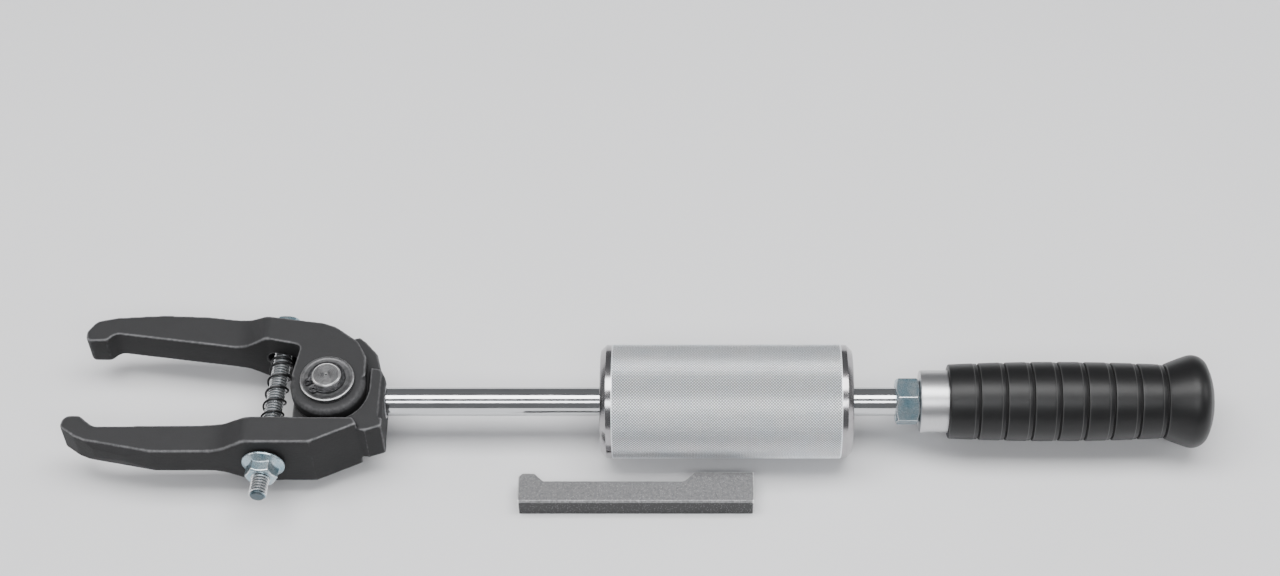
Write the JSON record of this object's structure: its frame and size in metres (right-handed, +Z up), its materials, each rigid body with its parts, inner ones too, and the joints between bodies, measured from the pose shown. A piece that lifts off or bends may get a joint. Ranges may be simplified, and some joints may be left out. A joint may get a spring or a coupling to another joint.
{
  "type": "ball joint separator",
  "caption": "Fork-jawed ball joint separator with a slide hammer: hinged forged claws, clamp bolt with spring, knurled sliding weight, rod and rubber grip, with a loose stepped bar.",
  "frame": {"origin": "middle of the footprint, on the surface that the tool lies on", "axes": "+X along the slide rod from the claws to the handle, +Z up along the pivot pin, +Y across the claws towards the moving one"},
  "size_m": [0.64, 0.1168, 0.064],
  "materials": {
    "forged_steel": "matt dark phosphate over a forged surface, worn brighter along the edges",
    "pin_steel": "turned mid-grey steel",
    "clip_steel": "dark spring steel",
    "zinc": "bright bluish zinc plate",
    "spring_wire": "dark oiled spring wire",
    "rod_chrome": "polished chrome plate",
    "weight_plate": "bright plated diamond knurl between polished ends",
    "collar_aluminium": "satin turned aluminium",
    "core_steel": "plain drawn tube",
    "grip_rubber": "satin black moulded rubber",
    "bar_steel": "bead-blasted grey steel, fine grain"
  },
  "bodies": {
    "root": {"fixed_jaw": "forged_steel", "pivot_pin": "pin_steel", "pivot_washer_upper": "pin_steel", "pivot_washer_lower": "pin_steel", "circlip_upper": "clip_steel", "circlip_lower": "clip_steel", "slide_rod": "rod_chrome", "stop_nut": "zinc", "handle_ferrule": "collar_aluminium", "handle_core": "core_steel", "core_end_washer": "zinc", "core_end_nut": "zinc", "grip_sleeve": "grip_rubber"},
    "swing_jaw": {"moving_jaw": "forged_steel"},
    "bolt": {"clamp_bolt": "zinc", "bolt_head_washer": "zinc", "jaw_spring": "spring_wire"},
    "nut": {"clamp_nut": "zinc"},
    "hammer": {"slide_weight": "weight_plate"},
    "loose_bar": {"step_bar": "bar_steel"}
  },
  "joints": [
    {"name": "jaw_swing", "type": "hinge", "parent": "root", "child": "swing_jaw", "pos_m": [-0.173, 0.0046, 0.032], "axis": [0, 0, 1], "range_deg": [0, 13], "stiffness_Nm_per_rad": 2.7, "springref_deg": -16.04, "deforming": ["jaw_spring"]},
    {"name": "bolt_rock", "type": "hinge", "parent": "swing_jaw", "child": "bolt", "pos_m": [-0.20217, 0.04963, 0.032], "axis": [0, 0, 1], "range_deg": [-5.85, 0.3]},
    {"name": "nut_spin", "type": "hinge", "parent": "bolt", "child": "nut", "pos_m": [-0.20697, -0.03618, 0.032], "axis": [0.0558, 0.9984, 0], "continuous": true},
    {"name": "weight_slide", "type": "slide", "parent": "root", "child": "hammer", "axis": [1, 0, 0], "range_m": [-0.12, 0.0243]},
    {"name": "bar_lift", "type": "slide", "parent": "root", "child": "loose_bar", "axis": [0, 0, 1], "range_m": [0, 0.06]}
  ],
  "couplings": [
    {"joint": "bolt_rock", "follows": "jaw_swing", "ratio": -0.4272}
  ]
}
